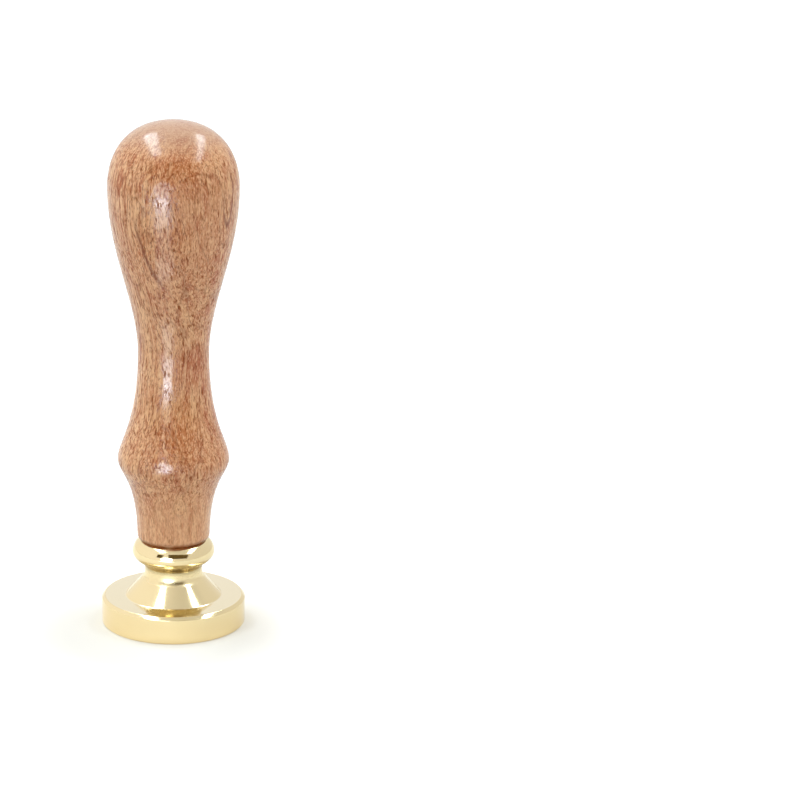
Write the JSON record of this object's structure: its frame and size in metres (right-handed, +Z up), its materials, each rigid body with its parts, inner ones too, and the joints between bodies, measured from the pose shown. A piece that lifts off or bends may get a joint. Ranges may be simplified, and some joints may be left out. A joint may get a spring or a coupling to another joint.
{
  "type": "wax seal stamp",
  "caption": "Desk stamp for sealing wax: a turned hardwood handle with a palm swell and a waist, screwed onto a polished brass head whose round underside is an engraved die.",
  "frame": {"origin": "centre of the engraved die face, which stands on the table", "axes": "+Z up along the turning axis, from the die to the crown of the handle; -Y towards the viewer of the picture; +X to the viewer's right"},
  "size_m": [0.025, 0.025, 0.0891],
  "materials": {
    "brass": "turned and polished bright",
    "stud_steel": "zinc plated, satin",
    "lacquered_wood": "reddish hardwood under clear gloss lacquer"
  },
  "bodies": {
    "head": {"seal_head": "brass"},
    "stud": {"threaded_stud": "stud_steel"},
    "handle": {"wood_handle": "lacquered_wood"}
  },
  "joints": [
    {"name": "screw_rise", "type": "slide", "parent": "head", "child": "stud", "axis": [0, 0, 1], "range_m": [0, 0.008]},
    {"name": "handle_turn", "type": "hinge", "parent": "stud", "child": "handle", "pos_m": [0, 0, 0.0152], "axis": [0, 0, 1], "range_deg": [0, 2880]}
  ],
  "couplings": [
    {"joint": "screw_rise", "follows": "handle_turn", "m_per_rad": 0.00015915}
  ]
}
